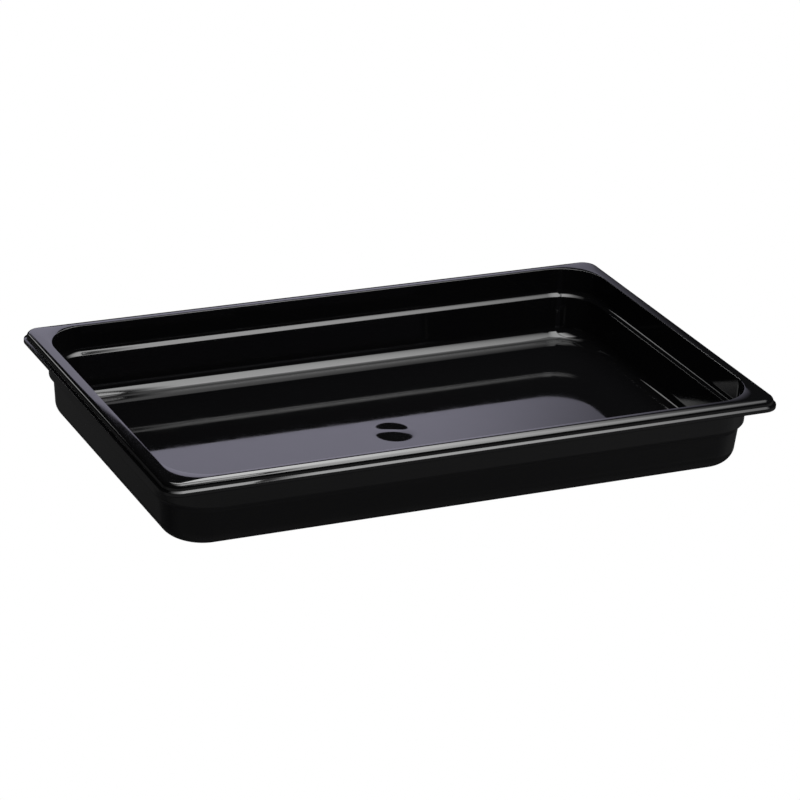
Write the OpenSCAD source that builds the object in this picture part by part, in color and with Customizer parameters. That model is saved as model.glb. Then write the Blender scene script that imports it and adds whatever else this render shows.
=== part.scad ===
// Full-size gastronorm food pan of the nominal 65 mm depth, moulded in one shot in black polycarbonate.
// Origin: the centre of the foot. +X runs along the length and +Z is up.

/* [Overall] */
// Length over the rim
pan_l = 530; // [320:1:640]
// Width over the rim
pan_w = 325; // [250:1:400]
// Height from the foot to the top of the rim
pan_h = 64; // [54:1:200]

/* [Rim] */
// Width of the rim, from the bead's outer face to the mouth
rim_w = 13; // [10:0.1:16]
// Width of the flat beside the mouth, before the rim starts to fall away
rim_flat = 3; // [2:0.1:4]
// Thickness of the rim
rim_t = 3; // [2:0.1:4]
// Fall of the rim from the flat to its round edge, in degrees
rim_slope = 3.5; // [0.5:0.1:5]
// Radius of the round edge between the rim and its lip
edge_r = 3.6; // [3:0.1:4.4]
// Radius of the rim's outer corners, seen from above
rim_corner_r = 15; // [10.5:0.5:20]
// Height of the lip that hangs from the rim's outer edge
lip_h = 9.4; // [8.4:0.1:14]
// Thickness of the lip
lip_t = 2.4; // [1.8:0.1:3]
// How far the bead stands out at the foot of the lip
bead_out = 2.4; // [0.4:0.1:3]
// Height of the bead where it meets the lip
bead_h = 4.2; // [3:0.1:5]
// Fall of the slope on top of the bead
bead_fall = 1; // [0.4:0.1:2]

/* [Walls and floor] */
// Thickness of the walls
wall_t = 3; // [2:0.1:4]
// Thickness of the floor
floor_t = 3; // [2:0.1:4]
// Radius of the mouth's corners, seen from above
mouth_corner_r = 37; // [34:1:50]
// Draft of the walls above the shoulders, in degrees
upper_draft = 1.5; // [0.5:0.1:3]
// Draft of the walls below the shoulders, in degrees
lower_draft = 5; // [3:0.1:6]
// Radius of the fillet between the walls and the floor, on the inside
fillet_r = 11; // [6:0.5:12]

/* [Stacking shoulders] */
// Depth of the inside shoulder below the top of the rim
inner_shoulder_depth = 21.6; // [18:0.1:26]
// Height of the inside shoulder's slope
inner_shoulder_h = 3.4; // [2:0.1:5]
// Depth of the outside shoulder below the top of the rim
outer_shoulder_depth = 27.8; // [24:0.1:32]
// Height of the outside shoulder's slope
outer_shoulder_h = 4.6; // [3:0.1:6]
// How far the inside shoulder steps in
shoulder_w = 3.4; // [2:0.1:4]

/* [Gate] */
// Diameter of the low swell over the gate, in the middle of the floor
swell_d = 40; // [30:1:60]
// Height of the swell
swell_h = 0.9; // [0.6:0.1:1.4]
// Diameter of the trimmed gate stub under the floor
gate_d = 5; // [3:0.5:8]
// Length of the gate stub, which stays inside the hollow under the swell
gate_h = 0.4; // [0.2:0.1:0.5]

/* [Hidden] */
$fn = 96;
PAST = 1;  // how far a cut runs past the face that it leaves through

// Corner axis of the body, measured in from the rim's outer faces
body_corner_r = rim_w + mouth_corner_r;

// Heights of the rim's underside, the shoulders and the fillet's centre
rim_under = pan_h - rim_t;
inner_top = pan_h - inner_shoulder_depth;
inner_low = inner_top - inner_shoulder_h;
outer_top = pan_h - outer_shoulder_depth;
outer_low = outer_top - outer_shoulder_h;
fillet_z = floor_t + fillet_r;

// Inside of the wall, measured in from the rim's outer faces
in_top = rim_w + inner_shoulder_depth * tan(upper_draft);
in_low = in_top + shoulder_w;
in_foot = in_low + (inner_low - fillet_z) * tan(lower_draft);

// Outside of the wall, measured in from the rim's outer faces
out_mouth = rim_w - wall_t;
out_top = out_mouth + outer_shoulder_depth * tan(upper_draft);
out_foot = in_foot - wall_t;
out_low = out_foot - (outer_low - fillet_z) * tan(lower_draft);

// Fills a rectangle with round corners from a profile that is carried round its edge. The profile's
// x is the distance outwards from the corner's axis, its y is the height, and it starts at x = 0.
// The block in the middle runs from height low to height high.
module tray(corner_r, low, high) {
  half_l = pan_l / 2 - corner_r;
  half_w = pan_w / 2 - corner_r;
  for (quarter = [0:3])
    translate([(quarter % 3 == 0 ? 1 : -1) * half_l, (quarter < 2 ? 1 : -1) * half_w, 0])
      rotate([0, 0, 90 * quarter]) rotate_extrude(angle = 90) children();
  for (end = [0, 180]) {
    rotate([0, 0, end]) translate([half_l, half_w, 0]) rotate([90, 0, 0])
      linear_extrude(height = 2 * half_w) children();
    rotate([0, 0, end + 90]) translate([half_w, half_l, 0]) rotate([90, 0, 0])
      linear_extrude(height = 2 * half_l) children();
  }
  translate([-half_l, -half_w, low]) cube([2 * half_l, 2 * half_w, high - low]);
}

// Half of a shallow dish: walls that follow the points, standing on a round foot
module dish_profile(foot_inset, foot_r, base, points, top) {
  x = body_corner_r - foot_inset - foot_r;
  z = base + foot_r;
  polygon(concat([[0, base], [x, base], [x, z], [x + foot_r, z]], points, [[0, top]]));
  intersection() {
    translate([x, z]) circle(r = foot_r);
    translate([x, base]) square(foot_r);
  }
}

module outside_profile() {
  dish_profile(out_foot, fillet_r + floor_t, 0, [
    [body_corner_r - out_low, outer_low],
    [body_corner_r - out_top, outer_top],
    [body_corner_r - out_mouth, pan_h - rim_t / 2]], pan_h - rim_t / 2);
}

module inside_profile() {
  dish_profile(in_foot, fillet_r, floor_t, [
    [body_corner_r - in_low, inner_low],
    [body_corner_r - in_top, inner_top],
    [body_corner_r - rim_w, pan_h],
    [body_corner_r - rim_w, pan_h + PAST]], pan_h + PAST);
}

// Rim with its round edge, lip and bead
module rim_profile() {
  fall_x = rim_corner_r - rim_w + rim_flat;
  face = rim_corner_r - bead_out;
  lip_z = pan_h - lip_h;
  x = face - edge_r;
  top = pan_h - (x - fall_x) * tan(rim_slope);
  difference() {
    polygon([[0, rim_under], [0, pan_h], [fall_x, pan_h], [x, top], [face, top],
      [face, lip_z + bead_h], [rim_corner_r, lip_z + bead_h - bead_fall], [rim_corner_r, lip_z],
      [face - lip_t, lip_z], [face - lip_t, rim_under]]);
    translate([x, top - edge_r]) difference() {
      square(edge_r);
      circle(r = edge_r);
    }
  }
}

// Ball whose cap of the swell's size stands on height z
module swell_ball(z) {
  r = (swell_d * swell_d / 4 + swell_h * swell_h) / (2 * swell_h);
  translate([0, 0, z + swell_h - r]) sphere(r = r, $fn = 360);
}

// Column over the middle of the floor, which keeps the swell's balls to their caps
module swell_column(low, high) {
  translate([0, 0, low]) cylinder(d = swell_d + 1, h = high - low);
}

module pan() {
  color("#141416") {
    difference() {
      union() {
        tray(body_corner_r, 0, pan_h - rim_t / 2) outside_profile();
        tray(rim_corner_r, rim_under, pan_h) rim_profile();
      }
      tray(body_corner_r, floor_t, pan_h + PAST) inside_profile();
      intersection() {
        swell_ball(0);
        swell_column(-PAST, swell_h + PAST);
      }
    }
    intersection() {
      difference() {
        swell_ball(floor_t);
        swell_ball(0);
      }
      swell_column(floor_t / 2, floor_t + swell_h + PAST);
    }
    translate([0, 0, swell_h - gate_h]) cylinder(d = gate_d, h = gate_h + floor_t / 2);
  }
}

pan();
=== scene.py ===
from math import atan2, cos, pi, radians, sin, tan

import bmesh
import bpy
from mathutils import Matrix, Vector


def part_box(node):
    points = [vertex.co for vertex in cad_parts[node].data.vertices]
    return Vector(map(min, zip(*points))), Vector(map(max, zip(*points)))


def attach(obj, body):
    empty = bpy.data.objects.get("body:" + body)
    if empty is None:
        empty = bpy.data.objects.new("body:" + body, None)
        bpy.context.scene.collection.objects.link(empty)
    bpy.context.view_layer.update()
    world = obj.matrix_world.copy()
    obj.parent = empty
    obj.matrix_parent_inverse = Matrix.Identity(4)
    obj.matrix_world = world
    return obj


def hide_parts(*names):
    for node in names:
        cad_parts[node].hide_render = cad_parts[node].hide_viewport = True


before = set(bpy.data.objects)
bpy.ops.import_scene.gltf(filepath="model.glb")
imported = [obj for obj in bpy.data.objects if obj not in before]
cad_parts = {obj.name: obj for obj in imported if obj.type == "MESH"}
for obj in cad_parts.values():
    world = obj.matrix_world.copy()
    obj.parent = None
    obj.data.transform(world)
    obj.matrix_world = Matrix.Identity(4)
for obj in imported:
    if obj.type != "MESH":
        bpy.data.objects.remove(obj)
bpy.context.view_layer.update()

scene = bpy.context.scene

# ---------------------------------------------------------------- sizes, in millimetres

MM = 0.001                      # one millimetre in metres
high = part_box("pan")[1]
HALF_L = high.x / MM            # half of the length over the rim
HALF_W = high.y / MM            # half of the width over the rim
TOP = high.z / MM               # height of the mouth

RIM_W = 13.0                    # from the bead's outer face to the mouth
RIM_T = 3.0
RIM_CORNER_R = 15.0
RIM_DROP = 0.36                 # fall of the crowned outer part of the rim
RIM_CROWN = 1.35                # power that makes the fall steeper towards the edge
RIM_SLOPE = radians(5)          # slope where the round edge starts
CREASE_ENDS = 12.5              # the line where the rim starts to fall away, on the short sides
CREASE_SIDES = 8.8              # and on the long sides
CREASE_CORNER_R = 25.0
CROWN_STEPS = 8                 # loops between that line and the round edge
EDGE_R = 3.6                    # round edge from the rim to the lip
LIP_H = 9.4
LIP_T = 2.4
BEAD_OUT = 2.4
BEAD_H = 4.2
BEAD_FALL = 1.0                 # fall of the slope on top of the bead
BEAD_TOP_R = 0.15               # rounds from the lip's face over the bead and up behind the lip
BEAD_R = 0.4
BEAD_TOE_R = 0.5
LIP_HEEL_R = 0.4
LIP_ROOT_R = 0.8

WALL_T = 3.0
FLOOR_T = 3.0
MOUTH_CORNER_R = 37.0
MOUTH_EDGE_R = 0.4
UPPER_DRAFT = radians(1.5)
LOWER_DRAFT = radians(5)
FILLET_R = 11.0
SHOULDER_DEPTH_IN = 21.6
SHOULDER_H_IN = 3.4
SHOULDER_W_IN = 3.4
SHOULDER_DEPTH_OUT = 27.8
SHOULDER_H_OUT = 4.6
SHOULDER_R = 1.6                # other rounds of both shoulders
SHOULDER_HOLLOW_R = 6.0         # hollow over the inside shoulder
ROOT_R = 1.5                    # fillet where the body meets the underside of the rim

SWELL_R = 20.0
SWELL_H = 0.9
SWELL_STEPS = 20
SWELL_TIP_R = 0.3               # small disc that closes the top of the swell
GATE_R = 2.5
GATE_H = 0.4
GATE_ROUND = 0.15
EYE_X, EYE_Y, EYE_R = 70.0, 3.0, 9.0   # faint ring that an ejector left on the floor
EYE_H = 0.012
EYE_PROFILE = ((1.5, 0), (0.9, 0), (0.2, EYE_H), (-0.2, EYE_H), (-0.9, 0), (-1.5, 0))

CORNER_STEPS = 32
RING_POINTS = 4 * (CORNER_STEPS + 1)
SUPPORT = 0.6                   # width of the narrow strip that keeps the flat beside it flat
HAIR = 0.001                    # every second loop is raised by this, see hair()
WELD = 0.005                    # points closer together than this become one
BODY_R = RIM_W + MOUTH_CORNER_R


# ---------------------------------------------------------------- modelling helpers

def deselect():
    if bpy.context.object and bpy.context.object.mode == "EDIT":
        bpy.ops.mesh.select_all(action="DESELECT")
    else:
        bpy.ops.object.select_all(action="DESELECT")


def add_ring(ends, sides, corner_r, z):
    """A loop of edges round the pan, set in from its ends and its long sides.

    It is a plane with its corners rounded, and its face taken out.
    """
    deselect()
    bpy.ops.mesh.primitive_plane_add(size=2, location=(0, 0, 0))
    bpy.ops.transform.resize(value=(HALF_L - ends, HALF_W - sides, 1))
    bpy.ops.transform.translate(value=(0, 0, z))
    bpy.ops.mesh.bevel(offset=corner_r, segments=CORNER_STEPS, affect="VERTICES")
    bpy.ops.mesh.delete(type="ONLY_FACE")


def add_circle(radius, z, x=0, y=0):
    deselect()
    bpy.ops.mesh.primitive_circle_add(vertices=RING_POINTS, radius=radius, location=(x, y, z))


def hair(index):
    """Keeps a loop out of its neighbour's plane, where a bridge between the two can come out twisted."""
    return HAIR * (index % 2)


def renumber():
    """Leaves edit mode and returns, so that the points are numbered in the order they were added."""
    bpy.ops.object.mode_set(mode="OBJECT")
    bpy.ops.object.mode_set(mode="EDIT")


def select_loops(mesh, loops):
    deselect()
    points = bmesh.from_edit_mesh(mesh)
    points.verts.ensure_lookup_table()
    for loop in loops:
        for vert in points.verts[loop * RING_POINTS:(loop + 1) * RING_POINTS]:
            vert.select_set(True)
    points.select_flush(True)
    bmesh.update_edit_mesh(mesh)


def skin(mesh, first, last):
    """Faces between each loop and the next, from the first to the last."""
    for loop in range(first, last):
        select_loops(mesh, (loop, loop + 1))
        bpy.ops.mesh.bridge_edge_loops()


# ---------------------------------------------------------------- profile of the pan

def arc(inset, z, radius, start, end, steps=10):
    """Points of a round whose centre is at (inset, z). Angle 0 points inwards, 90 degrees up."""
    angles = [start + (end - start) * i / steps for i in range(steps + 1)]
    return [(inset + radius * cos(a), z + radius * sin(a)) for a in angles]


def rounded(before, corner, after, radius, steps=6):
    """The round of that radius which fills the corner between two straights of the profile."""
    a = (Vector(before) - Vector(corner)).normalized()
    b = (Vector(after) - Vector(corner)).normalized()
    half = a.angle(b) / 2
    centre = Vector(corner) + (a + b).normalized() * radius / sin(half)
    start = Vector(corner) + a * radius / tan(half) - centre
    end = Vector(corner) + b * radius / tan(half) - centre
    start_angle = atan2(start.y, start.x)
    turn = (atan2(end.y, end.x) - start_angle + pi) % (2 * pi) - pi
    return arc(*centre, radius, start_angle, start_angle + turn, steps)


def with_supports(points):
    """Adds a point close to both ends of each long straight, so that the flat is shaded flat."""
    out = [points[0]]
    for a, b in zip(points, points[1:]):
        step = Vector(b) - Vector(a)
        if step.length > 4 * SUPPORT:
            nudge = step.normalized() * SUPPORT
            out += [tuple(Vector(a) + nudge), tuple(Vector(b) - nudge)]
        out.append(b)
    return out


def inside_points():
    """From the flat of the floor up the inside of the wall to the mouth, as (inset, z)."""
    shoulder_top = TOP - SHOULDER_DEPTH_IN
    shoulder_low = shoulder_top - SHOULDER_H_IN
    fillet_z = FLOOR_T + FILLET_R
    in_top = RIM_W + SHOULDER_DEPTH_IN * tan(UPPER_DRAFT)
    in_low = in_top + SHOULDER_W_IN
    in_foot = in_low + (shoulder_low - fillet_z) * tan(LOWER_DRAFT)
    foot = (in_foot, fillet_z)
    low_edge, top_edge = (in_low, shoulder_low), (in_top, shoulder_top)
    mouth = (RIM_W, TOP)
    floor = arc(in_foot + FILLET_R, fillet_z, FILLET_R, -pi / 2, -pi, 16)
    return floor + rounded(foot, low_edge, top_edge, SHOULDER_R) \
        + rounded(low_edge, top_edge, mouth, SHOULDER_HOLLOW_R, 12) \
        + rounded(top_edge, mouth, (0, TOP), MOUTH_EDGE_R, 4)


def edge_points():
    """From the start of the rim's round edge down the lip and the bead, and up behind the lip."""
    edge_x = BEAD_OUT + EDGE_R
    edge_z = TOP - RIM_DROP - EDGE_R * cos(RIM_SLOPE)
    lip_z = TOP - LIP_H
    bead_top = lip_z + BEAD_H
    lip_in = BEAD_OUT + LIP_T
    under = TOP - RIM_T
    face, shelf, nose = (BEAD_OUT, edge_z), (BEAD_OUT, bead_top), (0, bead_top - BEAD_FALL)
    toe, heel, root = (0, lip_z), (lip_in, lip_z), (lip_in, under)
    return arc(edge_x, edge_z, EDGE_R, pi / 2 + RIM_SLOPE, pi, 12) \
        + rounded(face, shelf, nose, BEAD_TOP_R, 3) + rounded(shelf, nose, toe, BEAD_R) \
        + rounded(nose, toe, heel, BEAD_TOE_R, 4) + rounded(toe, heel, root, LIP_HEEL_R, 4) \
        + rounded(heel, root, (RIM_W, under), LIP_ROOT_R, 4)


def outside_points():
    """From the underside of the rim down the outside of the wall to the flat of the foot."""
    under = TOP - RIM_T
    shoulder_top = TOP - SHOULDER_DEPTH_OUT
    shoulder_low = shoulder_top - SHOULDER_H_OUT
    fillet_z = FLOOR_T + FILLET_R
    in_foot = RIM_W + SHOULDER_DEPTH_IN * tan(UPPER_DRAFT) + SHOULDER_W_IN \
        + (TOP - SHOULDER_DEPTH_IN - SHOULDER_H_IN - fillet_z) * tan(LOWER_DRAFT)
    out_foot = in_foot - WALL_T
    out_low = out_foot - (shoulder_low - fillet_z) * tan(LOWER_DRAFT)
    out_top = RIM_W - WALL_T + SHOULDER_DEPTH_OUT * tan(UPPER_DRAFT)
    root = (RIM_W - WALL_T + RIM_T * tan(UPPER_DRAFT), under)
    top_edge, low_edge = (out_top, shoulder_top), (out_low, shoulder_low)
    foot_r = FILLET_R + FLOOR_T
    return rounded((0, under), root, top_edge, ROOT_R) \
        + rounded(root, top_edge, low_edge, SHOULDER_R) \
        + rounded(top_edge, low_edge, (out_foot, fillet_z), SHOULDER_R) \
        + arc(out_foot + foot_r, fillet_z, foot_r, pi, 1.5 * pi, 18)


def swell_height(r):
    """Height of the low swell over the gate, at a distance from its middle."""
    return SWELL_H * (1 + cos(pi * r / SWELL_R)) / 2


# ---------------------------------------------------------------- the pan

def make_pan():
    deselect()
    bpy.ops.mesh.primitive_plane_add()
    pan = bpy.context.object
    pan.name = "food_pan"
    pan.data.name = "food_pan"
    bpy.ops.object.mode_set(mode="EDIT")
    bpy.ops.mesh.select_all(action="SELECT")
    bpy.ops.mesh.delete(type="VERT")

    inside = with_supports(inside_points())
    edge = with_supports(edge_points())
    outside = with_supports(outside_points())
    rim = []
    for i in range(CROWN_STEPS):
        way = i / CROWN_STEPS
        ends = CREASE_ENDS + (edge[0][0] - CREASE_ENDS) * way
        sides = CREASE_SIDES + (edge[0][0] - CREASE_SIDES) * way
        corner_r = CREASE_CORNER_R + (RIM_CORNER_R - edge[0][0] - CREASE_CORNER_R) * way
        rim.append((ends, sides, corner_r, TOP - RIM_DROP * way ** RIM_CROWN))

    first = (inside[0][0] + SUPPORT, inside[0][1])
    last = (outside[-1][0] + SUPPORT, outside[-1][1])
    loops = [(inset, inset, BODY_R - inset, z) for inset, z in [first] + inside]
    loops += rim
    loops += [(inset, inset, RIM_CORNER_R - inset, z) for inset, z in edge]
    loops += [(inset, inset, BODY_R - inset, z) for inset, z in outside + [last]]
    for i, (ends, sides, corner_r, z) in enumerate(loops):
        add_ring(ends, sides, corner_r, z + hair(i))
    renumber()
    skin(pan.data, 0, len(loops) - 1)
    n = len(loops)

    # Swell in the floor, from its foot to its crown
    radii = [SWELL_R + SUPPORT] + [SWELL_R * (1 - i / SWELL_STEPS) for i in range(SWELL_STEPS)]
    radii.append(SWELL_TIP_R)
    for i, r in enumerate(radii):
        add_circle(r, FLOOR_T + (swell_height(r) if r < SWELL_R else 0) + hair(i))
    skin(pan.data, n, n + len(radii) - 1)
    swell = n
    n += len(radii)
    select_loops(pan.data, (n - 1,))
    bpy.ops.mesh.edge_face_add()

    # Ejector ring beside the swell
    eye = n
    for away, z in EYE_PROFILE:
        add_circle(EYE_R + away, FLOOR_T + z + hair(n), EYE_X, EYE_Y)
        n += 1
    skin(pan.data, eye, n - 1)
    select_loops(pan.data, (n - 1,))
    bpy.ops.mesh.edge_face_add()
    select_loops(pan.data, (0, swell, eye))
    bpy.ops.mesh.fill(use_beauty=False)

    # Hollow under the swell, with the trimmed gate in its middle
    hollow = n
    crown = swell_height(GATE_R)
    gate_z = SWELL_H - GATE_H
    radii = [SWELL_R + SUPPORT]
    radii += [SWELL_R - (SWELL_R - GATE_R) * i / SWELL_STEPS for i in range(SWELL_STEPS + 1)]
    circles = [(r, swell_height(r) if r < SWELL_R else 0) for r in radii]
    circles += rounded((GATE_R, crown), (GATE_R, gate_z), (0, gate_z), GATE_ROUND, 4)
    for i, (r, z) in enumerate(circles, start=len(loops)):
        add_circle(r, z + hair(i))
    n += len(circles)
    skin(pan.data, hollow, n - 1)
    select_loops(pan.data, (n - 1,))
    bpy.ops.mesh.edge_face_add()
    select_loops(pan.data, (len(loops) - 1, hollow))
    bpy.ops.mesh.bridge_edge_loops()

    bpy.ops.mesh.select_all(action="SELECT")
    bpy.ops.mesh.remove_doubles(threshold=WELD)
    bpy.ops.transform.resize(value=(MM, MM, MM), center_override=(0, 0, 0))
    bpy.ops.mesh.normals_make_consistent(inside=False)
    bpy.ops.object.mode_set(mode="OBJECT")
    bpy.ops.object.shade_smooth()
    return pan


# ---------------------------------------------------------------- materials

WAVE = 71.4 * MM                # one faint wave in the moulded face
HAZE = 16.7 * MM                # one patch of slightly duller gloss


def linear(colour):
    """A linear RGBA colour from an sRGB hex value."""
    parts = [int(colour[i:i + 2], 16) / 255 for i in (1, 3, 5)]
    return [c / 12.92 if c <= 0.04045 else ((c + 0.055) / 1.055) ** 2.4 for c in parts] + [1]


def node(tree, kind, settings=None, first=(), **inputs):
    """Adds a node, sets its properties, and fills or links its first inputs and its named ones."""
    made = tree.nodes.new(kind)
    for name, value in (settings or {}).items():
        setattr(made, name, value)
    named = [(made.inputs[name.replace("_", " ")], value) for name, value in inputs.items()]
    for socket, value in list(zip(made.inputs, first)) + named:
        if isinstance(value, bpy.types.NodeSocket):
            tree.links.new(value, socket)
        else:
            socket.default_value = value
    return made


def polycarbonate():
    """Black polycarbonate, injection moulded in a polished tool: deep black with mirror-like gloss."""
    made = bpy.data.materials.new("black_polycarbonate")
    made.use_nodes = True
    tree = made.node_tree
    tree.nodes.clear()
    place = node(tree, "ShaderNodeTexCoord").outputs["Object"]
    wave = node(tree, "ShaderNodeTexNoise", Vector=place, Scale=1 / WAVE, Detail=1.0)
    haze = node(tree, "ShaderNodeTexNoise", Vector=place, Scale=1 / HAZE, Detail=3.0)
    rough = node(tree, "ShaderNodeMapRange", Value=haze.outputs["Fac"], From_Min=0.3, From_Max=0.7,
                 To_Min=0.03, To_Max=0.06)
    bump = node(tree, "ShaderNodeBump", Height=wave.outputs["Fac"], Strength=0.03, Distance=0.001)
    shader = node(tree, "ShaderNodeBsdfPrincipled", Base_Color=linear("#0A0A0B"), IOR=1.58,
                  Roughness=rough.outputs["Result"], Normal=bump.outputs["Normal"])
    node(tree, "ShaderNodeOutputMaterial", Surface=shader.outputs["BSDF"])
    return made


# ---------------------------------------------------------------- studio, in metres

FLOOR_SIZE = 30
FLOOR_GAP = 0.0003              # keeps the floor just under the foot

AZIMUTH = radians(-26.58)       # the camera's direction, seen from the pan
ELEVATION = radians(24.13)
ROLL = radians(3.53)
DISTANCE = 2.692
AIM_DEPTH = 64.7                # the camera aims this many millimetres below the mouth
LENS = 148.8
SENSOR = 36
SHIFT = (0.0083, 0.0452)


def make_floor():
    """White paper sweep, lit until it is plain white."""
    deselect()
    bpy.ops.mesh.primitive_plane_add(size=FLOOR_SIZE, location=(0, 0, -FLOOR_GAP))
    floor = bpy.context.object
    floor.name = "floor"
    made = bpy.data.materials.new("white_sweep")
    made.use_nodes = True
    tree = made.node_tree
    tree.nodes.clear()
    glow = node(tree, "ShaderNodeEmission", Color=linear("#FFFFFF"), Strength=1.0)
    node(tree, "ShaderNodeOutputMaterial", Surface=glow.outputs["Emission"])
    floor.data.materials.append(made)
    floor.visible_glossy = False


def add_panel(name, place, facing, size, radiance, tint, soft):
    """A rectangular softbox that faces a direction.

    Its light fades out over its soft edges, which are shares of its width and of its height.
    """
    width, height = size
    data = bpy.data.lights.new(name, "AREA")
    data.shape = "RECTANGLE"
    data.size = width
    data.size_y = height
    data.color = tint
    data.energy = radiance * pi * width * height
    data.use_nodes = True
    tree = data.node_tree
    tree.nodes.clear()
    across = node(tree, "ShaderNodeNewGeometry").outputs["Parametric"]
    sides = node(tree, "ShaderNodeSeparateXYZ", Vector=across)
    fades = []
    for axis, (start, end) in zip("XY", soft):
        for begin, finish in ((0, start), (1, 1 - end)):
            fade = node(tree, "ShaderNodeMapRange", {"interpolation_type": "SMOOTHSTEP"},
                        Value=sides.outputs[axis], From_Min=begin, From_Max=finish)
            fades.append(fade.outputs["Result"])
    strength = fades[0]
    for fade in fades[1:]:
        both = node(tree, "ShaderNodeMath", {"operation": "MULTIPLY"}, (strength, fade))
        strength = both.outputs["Value"]
    glow = node(tree, "ShaderNodeEmission", Strength=strength)
    node(tree, "ShaderNodeOutputLight", Surface=glow.outputs["Emission"])
    lamp = bpy.data.objects.new(name, data)
    scene.collection.objects.link(lamp)
    lamp.matrix_world = Matrix.Translation(place) \
        @ Vector(facing).to_track_quat("-Z", "Y").to_matrix().to_4x4()


def make_world():
    """The camera sees white. Gloss sees a dim room, lightest below the horizon in front of the pan."""
    world = bpy.data.worlds.new("studio")
    scene.world = world
    world.use_nodes = True
    tree = world.node_tree
    tree.nodes.clear()
    seen = node(tree, "ShaderNodeLightPath").outputs["Is Camera Ray"]
    way = node(tree, "ShaderNodeTexCoord").outputs["Generated"]
    parts = node(tree, "ShaderNodeSeparateXYZ", Vector=way)
    up = parts.outputs["Z"]
    ground = node(tree, "ShaderNodeMapRange", {"interpolation_type": "SMOOTHSTEP"}, Value=up,
                  From_Min=-0.56, From_Max=-0.43, To_Min=0.05, To_Max=0.14)
    horizon = node(tree, "ShaderNodeMapRange", Value=up, From_Min=-0.05, From_Max=0.02,
                   To_Min=1.0, To_Max=0.07)
    behind = node(tree, "ShaderNodeMapRange", Value=parts.outputs["Y"], From_Min=-0.2, From_Max=0.3,
                  To_Min=1.0, To_Max=0.35)
    glow = node(tree, "ShaderNodeMath", {"operation": "MULTIPLY"},
                (ground.outputs["Result"], horizon.outputs["Result"]))
    room = node(tree, "ShaderNodeMath", {"operation": "MULTIPLY"},
                (glow.outputs["Value"], behind.outputs["Result"]))
    dark = node(tree, "ShaderNodeBackground", Color=(1, 1, 1, 1), Strength=room.outputs["Value"])
    pale = node(tree, "ShaderNodeBackground", Color=(1, 1, 1, 1), Strength=1)
    mix = node(tree, "ShaderNodeMixShader", None, (seen, dark.outputs[0], pale.outputs[0]))
    node(tree, "ShaderNodeOutputWorld", Surface=mix.outputs[0])


def make_camera():
    aim = Vector((0, 0, (TOP - AIM_DEPTH) * MM))
    forward = Vector((-sin(AZIMUTH) * cos(ELEVATION), cos(AZIMUTH) * cos(ELEVATION), -sin(ELEVATION)))
    level = Vector((cos(AZIMUTH), sin(AZIMUTH), 0))
    upright = level.cross(forward)
    right = level * cos(ROLL) + upright * sin(ROLL)
    up = upright * cos(ROLL) - level * sin(ROLL)
    turn = Matrix((right, up, -forward)).transposed().to_4x4()
    data = bpy.data.cameras.new("camera")
    data.lens = LENS
    data.sensor_width = SENSOR
    data.shift_x, data.shift_y = SHIFT
    camera = bpy.data.objects.new("camera", data)
    camera.matrix_world = Matrix.Translation(aim - forward * DISTANCE) @ turn
    scene.collection.objects.link(camera)
    scene.camera = camera


pan = make_pan()
pan.data.materials.append(polycarbonate())
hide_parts("pan")
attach(pan, "root")

make_floor()
make_world()
make_camera()
# The panel behind the pan shows in the floor and the rim, the strip in the rounds on the right
add_panel("back_panel", place=(0.7, 2.5, 0.97), facing=(0, -1, 0), size=(2.6, 0.8), radiance=1.05,
          tint=(0.99, 0.96, 1.2), soft=((0.295, 0.02), (0.02, 0.02)))
add_panel("back_strip", place=(-1.3, 2.45, 0.93), facing=(0, -1, 0), size=(0.44, 0.46), radiance=2.4,
          tint=(1, 1, 1), soft=((0.1, 0.1), (0.2, 0.2)))
# The two overhead show in the rounds along the front and the back
add_panel("overhead", place=(0.675, 0.075, 1.05), facing=(0, 0, -1), size=(0.95, 2.45), radiance=5.4,
          tint=(1, 1, 1), soft=((0.08, 0.79), (0.02, 0.02)))
add_panel("corner_fill", place=(-0.11, -0.15, 1.05), facing=(0, 0, -1), size=(0.78, 0.9), radiance=5.4,
          tint=(1, 1, 1), soft=((0.9, 0.1), (0.1, 0.1)))
scene.view_settings.view_transform = "Standard"
